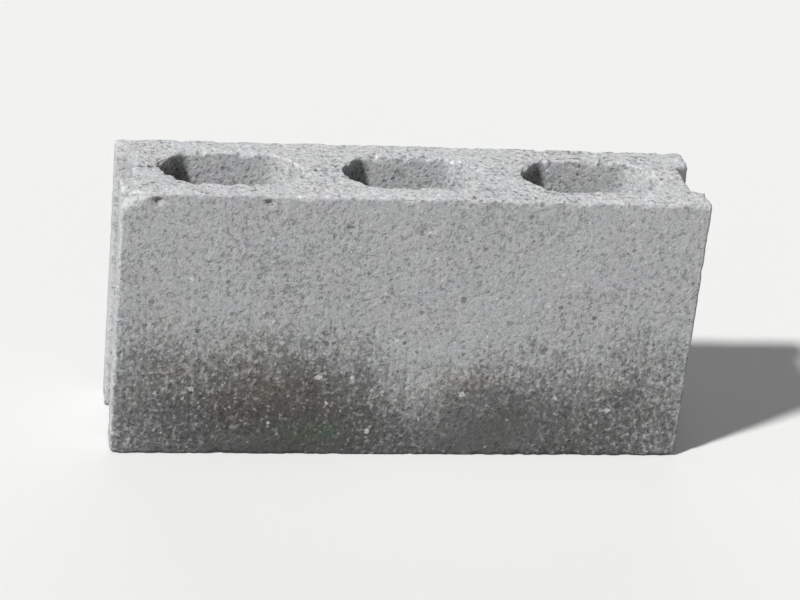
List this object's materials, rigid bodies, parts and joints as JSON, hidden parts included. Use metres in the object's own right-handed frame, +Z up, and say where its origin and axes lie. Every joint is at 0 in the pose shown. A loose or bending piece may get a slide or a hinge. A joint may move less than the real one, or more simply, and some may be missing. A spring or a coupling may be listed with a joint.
{
  "type": "hollow concrete block",
  "caption": "Grey hollow concrete masonry block with rounded hexagonal cells through its height and a full-height mortar groove in each end.",
  "frame": {"origin": "middle of the block's underside, where it stands on its bed", "axes": "+X along the block's length, +Y through its width from the front face to the back face, +Z up the cells to the top bed face, which carries the core bar's mark"},
  "size_m": [0.39, 0.09, 0.19],
  "materials": {
    "concrete": "dry-cast grey concrete, open granular face, matt"
  },
  "bodies": {
    "root": {"concrete_block": "concrete"}
  },
  "joints": []
}
